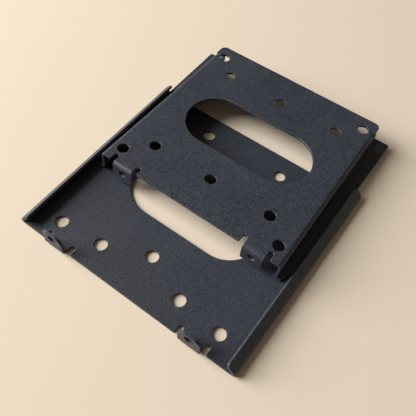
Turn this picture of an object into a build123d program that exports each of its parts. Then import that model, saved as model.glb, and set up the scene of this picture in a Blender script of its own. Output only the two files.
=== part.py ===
from build123d import *
import math
import os

# Two-piece slide-in bracket for fixing a flat display to a wall.
# It lies on the back of its wall plate: X across, Y along the slide, Z up, millimetres.
# The wall plate's centre is at X = 0, Y = 0 and its back is at Z = 0.

os.makedirs("parts", exist_ok=True)

# --- sheet ---------------------------------------------------------------
wall_t = 1.5             # sheet of the wall plate
screen_t = 1.5           # sheet of the screen plate
edge_r = 0.25            # broken edges all round
corner_r = 0.8           # small corners of the outline

# --- wall plate ----------------------------------------------------------
wall_margin = 12.0       # centre of an outer hole to the end of the base, along Y
rail_bend_r = 0.8        # inside radius of the rail bend
rail_lean = 45.0         # degrees between the base and the rail's leaning wall
rail_high = 7.8          # back of the base to the top of a rail
rail_splay = 1.66        # degrees each rail turns outwards, so that the far end is wider
rail_past = 1.5          # the rails run this far past the base at its far end
rail_end_r = 2.0         # rounded ends of a rail's free edge
wall_hole_d = 7.0        # wall screws
wall_square = 100.0      # square hole pattern
wall_pair_x = 50.0       # inner pattern, across
wall_pair_y = 96.0       # inner pattern, along
wall_mid_y = 75.0        # two holes on the centre line
wall_window_wide = 80.0
wall_window_high = 38.0
wall_tab_below = 1.5     # top of an upright tab under the face of the screen plate
wall_tab_corner_r = 4.0
wall_tab_hole_d = 5.0    # clearance hole for the locking screw

# --- screen plate --------------------------------------------------------
screen_margin = 9.75     # centre of an outer hole to the end of the plate, along Y
side_margin = 7.3        # centre of an outer hole to the outer face of a side wall
foot_out = 8.15          # free edge of a foot past the side wall, at mid-length
foot_gap = 0.3           # feet over the base
foot_side_gap = 0.63     # top edge of a foot, across to the rail's leaning wall
total_high = 15.0        # back of the wall plate to the face of the screen plate
screen_hole_d = 6.5
screen_square = 100.0    # larger display pattern
screen_small = 75.0      # smaller display pattern
screen_mid_y = 75.0      # two holes on the centre line
screen_window_wide = 80.0
screen_window_high = 38.0
ear_len = 9.0            # flat corners at the far end, past the side walls' bend
ear_corner_r = 3.5
ear_slit = 6.5           # slit between a flat corner and the side wall
ear_notch_wide = 1.0     # round-ended relief at the end of the bend
ear_notch_in = 0.2       # the relief runs this far into the flat
feet_past = 1.0          # side walls and feet run this far past the plate's far edge
foot_corner_r = 1.2      # far corners of the feet
lead_wide = 4.8          # tapered near ends of the feet, which enter the rails first
lead_long = 9.0
screen_tab_gap = 2.7     # end of a tab over the base
screen_tab_corner_r = 1.5
screen_tab_hole_d = 3.3  # tapped for the locking screw
screen_tab_sink_d = 4.5  # lead-in of the tapped hole

# --- tabs, shared so that the two pairs meet -----------------------------
bend_r = 1.0             # inside radius of the tabs' and the side walls' bends
tab_in = 15.55           # centre of a tab inside the outer face of a side wall
tab_wide = 12.5
tab_past = 1.5           # a tab's outer face past the plate's near edge
slot_wide = 2.75         # relief slots beside the tabs
slot_deep = 4.75
lock_z = 9.5             # both tab holes over the back of the wall plate

# --- position on the slide -----------------------------------------------
lock_gap = 0.75          # between the two pairs of tabs when the screen plate is home
slid = 49.5              # the screen plate stands this far from home

# --- sizes that follow -----------------------------------------------------
wall_len = wall_square + 2 * wall_margin
screen_len = screen_square + 2 * screen_margin
screen_wide = screen_square + 2 * side_margin
tab_x = screen_wide / 2 - tab_in
foot_x = screen_wide / 2 + foot_out
foot_top = wall_t + foot_gap + screen_t
wall_near = -wall_len / 2
screen_near = -screen_len / 2
home = wall_near + wall_t + lock_gap - screen_near
splay = math.tan(math.radians(rail_splay))
high = 60.0              # longer than any sheet is thick


def sheet(path_plane, points, bend, thick, length, way=None):
    """A folded sheet: a middle line with equal bends, given thickness and run out one way."""
    line = FilletPolyline(*points, radius=bend + thick / 2)
    band = trace(line, line_width=thick)
    return extrude(path_plane * band, amount=length, dir=way)


def obround(wide, tall):
    return SlotOverall(wide, tall)


def holes(diameter, places):
    return [Pos(x, y) * Circle(diameter / 2) for x, y in places]


def corners(dx, dy):
    return [(sx * dx / 2, sy * dy / 2) for sx in (-1, 1) for sy in (-1, 1)]


def bore(sketches, bottom, top):
    """Straight cuts through everything between two heights."""
    return [extrude(Pos(0, 0, bottom) * s, amount=top - bottom) for s in sketches]


def slots(near):
    """Round-ended relief slots, two for each tab, open at the near edge."""
    found = []
    for side in (-1, 1):
        for step in (-1, 1):
            x = side * tab_x + step * (tab_wide + slot_wide) / 2
            reach = slot_deep + slot_wide
            slot = SlotOverall(2 * reach, slot_wide, rotation=90)
            found.append(Pos(x, near + slot_deep - reach) * slot)
    return found


def round_mouths(piece, near):
    """Round the corners where the relief slots open on the near edge."""
    inner = tab_x - tab_wide / 2 - slot_wide
    outer = tab_x + tab_wide / 2 + slot_wide
    mouths = []
    for edge in piece.edges().filter_by(Axis.Z):
        c = edge.center()
        at_slot = min(abs(abs(c.X) - inner), abs(abs(c.X) - outer)) < 0.01
        if at_slot and abs(c.Y - near) < 0.01:
            mouths.append(edge)
    return fillet(mouths, corner_r)


def break_edges(piece, radius):
    """Round every edge where two faces meet at an angle, but not the seams of the bends."""
    owners = {}
    for face in piece.faces():
        for edge in face.edges():
            owners.setdefault(edge, []).append(face)
    sharp = []
    for edge, pair in owners.items():
        if len(pair) == 2:
            middle = edge @ 0.5
            if pair[0].normal_at(middle).get_angle(pair[1].normal_at(middle)) > 30.0:
                sharp.append(edge)
    return fillet(sharp, radius)


# --- wall plate ----------------------------------------------------------
rail_mid_r = rail_bend_r + wall_t / 2
turn = math.radians(180.0 - rail_lean)
lean = math.radians(rail_lean)
wall_mid_z = wall_t / 2
# the leaning wall clears the top edge of a foot
knee_x = foot_x + foot_side_gap
knee_x += (foot_top - wall_mid_z) / math.tan(lean) + wall_t / 2 / math.sin(lean)
bend_x = knee_x - rail_mid_r * math.tan(turn / 2)
rise = rail_high - wall_t / 2 - wall_t / 2 * math.cos(lean)
tip_x = knee_x - rise / math.tan(lean)
tip_z = wall_mid_z + rise

wall_tab_top = total_high - wall_tab_below
seam_x = screen_wide / 2                  # where the strip that carries a rail meets the base
rail_points = [(seam_x, wall_mid_z), (knee_x, wall_mid_z), (tip_x, tip_z)]
run = Plane(origin=(wall_near * splay, wall_near, 0), x_dir=(1, 0, 0), z_dir=(0, -1, 0))
rail_long = (wall_len + rail_past) * math.hypot(1.0, splay)
rail = sheet(run, rail_points, rail_bend_r, wall_t, rail_long, (splay, 1, 0))
base = extrude(Rectangle(2 * (seam_x + wall_len * splay), wall_len), amount=wall_t)
wall = base + rail + mirror(rail, Plane.YZ)

# the base stops short of the rails' far ends
step_x = bend_x + wall_len / 2 * splay - corner_r
far_step = Pos(0, wall_len / 2 + rail_past) * Rectangle(2 * step_x, 2 * rail_past)
wall -= bore([far_step], -1.0, wall_t + 0.5)

# rounded ends of the rails' free edges
tips = wall.edges().filter_by(lambda e: abs(e.length - wall_t) < 0.01 and e.center().Z > tip_z - 0.2)
wall = fillet(tips, rail_end_r)

# tabs folded up at the near edge
face_y = wall_near - tab_past
fold_y = face_y + wall_t + bend_r
for side in (-1, 1):
    strip = Pos(side * tab_x, fold_y - high / 2) * Rectangle(tab_wide, high)
    wall -= bore([strip], -1.0, wall_t + 0.5)
    plane = Plane(origin=(side * tab_x - tab_wide / 2, 0, 0), x_dir=(0, 1, 0), z_dir=(1, 0, 0))
    tab = sheet(
        plane,
        [(fold_y + 0.5, wall_mid_z), (face_y + wall_t / 2, wall_mid_z), (face_y + wall_t / 2, wall_tab_top)],
        bend_r,
        wall_t,
        tab_wide,
    )
    tops = tab.edges().filter_by(Axis.Y).filter_by(lambda e: e.center().Z > wall_tab_top - 0.1)
    tab = fillet(tops, wall_tab_corner_r)
    pin = Cylinder(wall_tab_hole_d / 2, high, rotation=(90, 0, 0))
    tab -= Pos(side * tab_x, face_y, lock_z) * pin
    wall += tab

openings = slots(wall_near)
openings.append(obround(wall_window_wide, wall_window_high))
openings += holes(wall_hole_d, corners(wall_square, wall_square))
openings += holes(wall_hole_d, corners(wall_pair_x, wall_pair_y))
openings += holes(wall_hole_d, [(0, -wall_mid_y / 2), (0, wall_mid_y / 2)])
wall -= bore(openings, -1.0, wall_t + 0.5)
wall = round_mouths(wall, wall_near)
wall = break_edges(wall, edge_r)

# --- screen plate, drawn at home and then slid ---------------------------
screen_mid_z = total_high - screen_t / 2
foot_mid_z = foot_top - screen_t / 2
side_x = screen_wide / 2 - screen_t / 2
foot_far = screen_len / 2 + feet_past
foot_far_x = foot_x + (foot_far + home) * splay
spare = 1.0              # cut away again where the feet are trimmed
side_points = [
    (-foot_far_x - spare, foot_mid_z),
    (-side_x, foot_mid_z),
    (-side_x, screen_mid_z),
    (side_x, screen_mid_z),
    (side_x, foot_mid_z),
    (foot_far_x + spare, foot_mid_z),
]
run = Plane(origin=(0, screen_near, 0), x_dir=(1, 0, 0), z_dir=(0, -1, 0))
screen = sheet(run, side_points, bend_r, screen_t, -(screen_len + feet_past))

# flat corners at the far end: the bend is cut away and the plate carried on flat
ear_y = screen_len / 2 - ear_len
flat_x = screen_wide / 2 - screen_t - bend_r
under = total_high - screen_t
for side in (-1, 1):
    notch = Box(high, ear_len + feet_past, high, align=(Align.MIN, Align.MIN, Align.MIN))
    if side < 0:
        notch = mirror(notch, Plane.YZ)
    screen -= Pos(side * flat_x, ear_y, under - ear_slit) * notch
    ear = Rectangle(screen_wide / 2 - flat_x, ear_len)
    ear = Pos(side * (screen_wide / 2 + flat_x) / 2, ear_y + ear_len / 2) * ear
    ear = extrude(Pos(0, 0, under) * ear, amount=screen_t)
    screen += ear
    relief = SlotOverall(2 * (screen_wide / 2 - flat_x + ear_notch_in), ear_notch_wide)
    relief = Pos(side * screen_wide / 2, ear_y) * relief
    screen -= bore([relief], under - ear_slit, total_high + 1.0)

far_strip = Pos(0, screen_len / 2 + feet_past) * Rectangle(screen_wide, 2 * feet_past)
screen -= bore([far_strip], under - ear_slit, total_high + 1.0)

ears = screen.edges().filter_by(Axis.Z).filter_by(
    lambda e: e.center().Y > screen_len / 2 - 0.1 and abs(e.center().X) > screen_wide / 2 - 0.1
    and e.center().Z > under
)
screen = fillet(ears, ear_corner_r)

# the feet's edges run beside the rails, and their near ends lead in
lead_y = screen_near + lead_long
trim = Polygon(
    (foot_far_x + 2 * spare, screen_near),
    (foot_far_x + 2 * spare, foot_far + spare),
    (foot_far_x + spare * splay, foot_far + spare),
    (foot_x + (lead_y + home) * splay, lead_y),
    (foot_x + (screen_near + home) * splay - lead_wide, screen_near),
    align=None,
)
trim = extrude(trim, amount=foot_top + 0.5)
screen -= trim + mirror(trim, Plane.YZ)
feet = screen.edges().filter_by(Axis.Z).filter_by(
    lambda e: abs(e.center().X) > foot_far_x - 0.1 and e.center().Y > 0
)
screen = fillet(feet, foot_corner_r)

# tabs folded down at the near edge
face_y = screen_near - tab_past
fold_y = face_y + screen_t + bend_r
for side in (-1, 1):
    strip = Pos(side * tab_x, fold_y - high / 2) * Rectangle(tab_wide, high)
    screen -= bore([strip], under - 0.5, total_high + 1.0)
    plane = Plane(origin=(side * tab_x - tab_wide / 2, 0, 0), x_dir=(0, 1, 0), z_dir=(1, 0, 0))
    low = wall_t + screen_tab_gap
    tab = sheet(
        plane,
        [(fold_y + 0.5, screen_mid_z), (face_y + screen_t / 2, screen_mid_z), (face_y + screen_t / 2, low)],
        bend_r,
        screen_t,
        tab_wide,
    )
    ends = tab.edges().filter_by(Axis.Y).filter_by(lambda e: e.center().Z < low + 0.1)
    tab = fillet(ends, screen_tab_corner_r)
    pin = Cylinder(screen_tab_hole_d / 2, high, rotation=(90, 0, 0))
    tab -= Pos(side * tab_x, face_y, lock_z) * pin
    sink_deep = (screen_tab_sink_d - screen_tab_hole_d) / 2
    sink = Cone(
        screen_tab_sink_d / 2,
        screen_tab_hole_d / 2,
        sink_deep,
        rotation=(-90, 0, 0),
        align=(Align.CENTER, Align.CENTER, Align.MIN),
    )
    tab -= Pos(side * tab_x, face_y, lock_z) * sink
    screen += tab

openings = slots(screen_near)
openings.append(obround(screen_window_wide, screen_window_high))
openings += holes(screen_hole_d, corners(screen_square, screen_square))
openings += holes(screen_hole_d, corners(screen_small, screen_small))
openings += holes(screen_hole_d, [(0, -screen_mid_y / 2), (0, screen_mid_y / 2)])
screen -= bore(openings, under - 0.5, total_high + 1.0)
screen = round_mouths(screen, screen_near)
screen = break_edges(screen, edge_r)
screen = Pos(0, home + slid, 0) * screen

export_step(wall, "parts/wall_plate.step")
export_step(screen, "parts/screen_plate.step")
for name, piece in (("wall_plate", wall), ("screen_plate", screen)):
    box = piece.bounding_box()
    print(name, len(piece.solids()), round(piece.volume, 1), box.min, box.max)
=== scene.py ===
# %% [markdown]
# # A slide-in bracket for a flat display
#
# Two folded steel sheets make this bracket. The wall plate is screwed to a wall. The screen
# plate is screwed to a display, and its feet slide into the wall plate's rails.
#
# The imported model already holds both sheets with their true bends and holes. This script gives the
# steel its powder coat, and sets up a floor, lights and a camera.

import math

import bpy
from mathutils import Matrix, Vector


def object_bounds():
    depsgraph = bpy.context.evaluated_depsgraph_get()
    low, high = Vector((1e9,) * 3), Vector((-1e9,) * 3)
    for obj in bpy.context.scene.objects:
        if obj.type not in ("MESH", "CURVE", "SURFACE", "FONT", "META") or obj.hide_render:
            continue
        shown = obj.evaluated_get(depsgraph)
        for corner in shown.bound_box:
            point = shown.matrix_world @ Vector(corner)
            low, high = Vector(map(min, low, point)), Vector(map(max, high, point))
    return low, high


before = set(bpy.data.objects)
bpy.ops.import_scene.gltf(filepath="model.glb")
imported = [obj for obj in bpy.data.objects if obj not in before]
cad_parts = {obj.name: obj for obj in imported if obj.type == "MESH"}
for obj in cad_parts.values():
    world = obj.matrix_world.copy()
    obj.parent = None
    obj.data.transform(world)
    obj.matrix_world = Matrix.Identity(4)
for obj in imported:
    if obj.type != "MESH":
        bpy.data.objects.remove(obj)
cad_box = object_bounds()
print("CAD box:", [tuple(round(v, 4) for v in corner) for corner in cad_box])

# %% [markdown]
# ## A small wrapper for shader maths
#
# A material is a graph of nodes. Writing `noise * 0.3 + 0.2` is easier to read than adding two
# Math nodes and joining them by hand. The class below wraps one output socket. Its operators add
# the Math node and return a new wrapped socket. Any other node comes from `Nodes.add`, which takes
# the node's type, its settings, and what goes into its sockets.

# %% Shader maths
class Wire:
    """One output socket, with operators that add Math nodes."""

    def __init__(self, nodes, socket):
        self.nodes = nodes
        self.socket = socket

    def maths(self, operation, first, second):
        return self.nodes.add("ShaderNodeMath", {"operation": operation}, {0: first, 1: second})

    def __add__(self, other):
        return self.maths("ADD", self, other)

    def __radd__(self, other):
        return self.maths("ADD", other, self)

    def __sub__(self, other):
        return self.maths("SUBTRACT", self, other)

    def __rsub__(self, other):
        return self.maths("SUBTRACT", other, self)

    def __mul__(self, other):
        return self.maths("MULTIPLY", self, other)

    def __rmul__(self, other):
        return self.maths("MULTIPLY", other, self)


class Nodes:
    """The node graph of one material."""

    def __init__(self, name):
        self.material = bpy.data.materials.new(name)
        self.material.use_nodes = True
        self.tree = self.material.node_tree
        self.tree.nodes.clear()

    def add(self, kind, settings=None, values=None, output=0):
        node = self.tree.nodes.new(kind)
        for name, value in (settings or {}).items():
            setattr(node, name, value)
        for name, value in (values or {}).items():
            if isinstance(value, Wire):
                self.tree.links.new(value.socket, node.inputs[name])
            else:
                node.inputs[name].default_value = value
        return Wire(self, node.outputs[output]) if node.outputs else None

    def ramp(self, factor, low, high):
        """0 below low, 1 above high, smooth between."""
        settings = {"interpolation_type": "SMOOTHSTEP"}
        values = {"Value": factor, "From Min": low, "From Max": high}
        return self.add("ShaderNodeMapRange", settings, values)

    def mix(self, factor, first, second):
        """Blend two colours."""
        values = {0: factor, 6: first, 7: second}
        return self.add("ShaderNodeMix", {"data_type": "RGBA"}, values, output=2)

    def noise(self, place, scale, detail=2.0, roughness=0.5):
        values = {"Vector": place, "Scale": scale, "Detail": detail, "Roughness": roughness}
        return self.add("ShaderNodeTexNoise", None, values)

    def finish(self, **sockets):
        """Put the values and wires on a Principled BSDF and join it to the output."""
        surface = self.add("ShaderNodeBsdfPrincipled", None, sockets)
        self.add("ShaderNodeOutputMaterial", None, {"Surface": surface})
        return self.material


print("shader helpers ready")

# %% [markdown]
# ## Powder coat
#
# Both sheets wear the same finish: a matt charcoal powder coat with a fine sandy texture. Powder is
# sprayed on dry and melts into a skin of tiny grains well under a millimetre across. That skin is
# drawn with three layers of noise on Object coordinates, which stay fixed to each sheet: a broad
# one for slight unevenness, a middle one for the mottled look, and a fine one for the grains. The
# two finer layers feed a Bump node, so the grains catch the light as real ones do.

# %% Powder coat
COAT_DARK = (0.014, 0.019, 0.031, 1.0)
COAT_LIGHT = (0.048, 0.058, 0.081, 1.0)
BROAD_SCALE = 26.0       # patches per metre
MOTTLE_SCALE = 1437.0
GRAIN_SCALE = 2970.0
SHADE_LOW = 0.40         # mixed noise that gives the dark coat
SHADE_HIGH = 0.60        # and the light one
ROUGHNESS = 0.42
BUMP_STRENGTH = 0.35
BUMP_HEIGHT = 0.00012    # metres


def powder_coat(name):
    n = Nodes(name)
    place = n.add("ShaderNodeTexCoord", output=3)
    broad = n.noise(place, BROAD_SCALE)
    mottle = n.noise(place, MOTTLE_SCALE, roughness=0.6)
    grains = n.noise(place, GRAIN_SCALE, roughness=0.65)
    shade = n.ramp(mottle * 0.60 + grains * 0.30 + broad * 0.10, SHADE_LOW, SHADE_HIGH)
    colour = n.mix(shade, COAT_DARK, COAT_LIGHT)
    rough = ROUGHNESS + 0.10 * mottle + 0.06 * broad
    height = grains * 0.5 + mottle * 0.5
    values = {"Height": height, "Strength": BUMP_STRENGTH, "Distance": BUMP_HEIGHT}
    bump = n.add("ShaderNodeBump", None, values)
    return n.finish(**{"Base Color": colour, "Roughness": rough, "Normal": bump, "IOR": 1.5})


for node in ("wall_plate", "screen_plate"):
    material = powder_coat(node + "_coat")
    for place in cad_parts[node].material_slots:
        place.material = material
    print(node, "has", len(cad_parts[node].data.polygons), "faces")

# %% [markdown]
# ## Floor
#
# The bracket lies on its back on a plain pale floor. One large flat sheet is enough.

# %% Floor
FLOOR_HALF = 3.0
FLOOR_COLOUR = (0.78, 0.69, 0.57, 1.0)

FLOOR_ROUGHNESS = 0.9

corners = [(-1, -1), (1, -1), (1, 1), (-1, 1)]
corners = [(x * FLOOR_HALF, y * FLOOR_HALF, cad_box[0].z) for x, y in corners]
floor_mesh = bpy.data.meshes.new("floor")
floor_mesh.from_pydata(corners, [], [(0, 1, 2, 3)])
floor = bpy.data.objects.new("floor", floor_mesh)
bpy.context.scene.collection.objects.link(floor)
n = Nodes("floor_paper")
paper = n.finish(**{"Base Color": FLOOR_COLOUR, "Roughness": FLOOR_ROUGHNESS})
floor_mesh.materials.append(paper)
print("floor at z =", round(cad_box[0].z, 4))

# %% [markdown]
# ## Light
#
# One large, low lamp from the left gives soft shadows. A dim warm world fills them, as light that
# has bounced off the pale floor would.

# %% Light
KEY_FROM = Vector((-0.80, -0.30, 0.45))
KEY_FAR = 2.5
KEY_SIZE = 1.7
KEY_POWER = 130.0
KEY_COLOUR = (1.0, 0.96, 0.91)
WORLD_LEVEL = 0.13
WORLD_COLOUR = (1.0, 0.84, 0.66, 1.0)


def area_light(name, place, aim, size, power, colour):
    data = bpy.data.lights.new(name, "AREA")
    data.shape = "SQUARE"
    data.size = size
    data.energy = power
    data.color = colour
    lamp = bpy.data.objects.new(name, data)
    lamp.location = place
    lamp.rotation_mode = "QUATERNION"
    lamp.rotation_quaternion = (aim - place).to_track_quat("-Z", "Y")
    bpy.context.scene.collection.objects.link(lamp)
    return lamp


aim = Vector((0.0, 0.02, 0.0))
area_light("key", aim + KEY_FROM * KEY_FAR, aim, KEY_SIZE, KEY_POWER, KEY_COLOUR)

world = bpy.data.worlds.new("room")
bpy.context.scene.world = world
world.use_nodes = True
background = world.node_tree.nodes["Background"]
background.inputs["Color"].default_value = WORLD_COLOUR
background.inputs["Strength"].default_value = WORLD_LEVEL
bpy.context.scene.view_settings.view_transform = "Standard"

# %% [markdown]
# ## Camera
#
# The camera looks down from the near right corner at about 56 degrees, and leans a little.

# %% Camera
CAMERA_AT = Vector((0.07515, -0.12238, 0.21410))
CAMERA_AIM = Vector((0.00719, 0.00048, 0.0075))
CAMERA_ROLL = math.radians(7.709)
LENS = 40.77

camera_data = bpy.data.cameras.new("camera")
camera_data.lens = LENS
camera_data.sensor_width = 36.0
camera_data.clip_start = 0.01
camera = bpy.data.objects.new("camera", camera_data)
turn = (CAMERA_AIM - CAMERA_AT).to_track_quat("-Z", "Y").to_matrix()
turn = turn @ Matrix.Rotation(CAMERA_ROLL, 3, "Z")
camera.matrix_world = Matrix.Translation(CAMERA_AT) @ turn.to_4x4()
bpy.context.scene.collection.objects.link(camera)
bpy.context.scene.camera = camera
print("camera at", [round(v, 3) for v in CAMERA_AT])
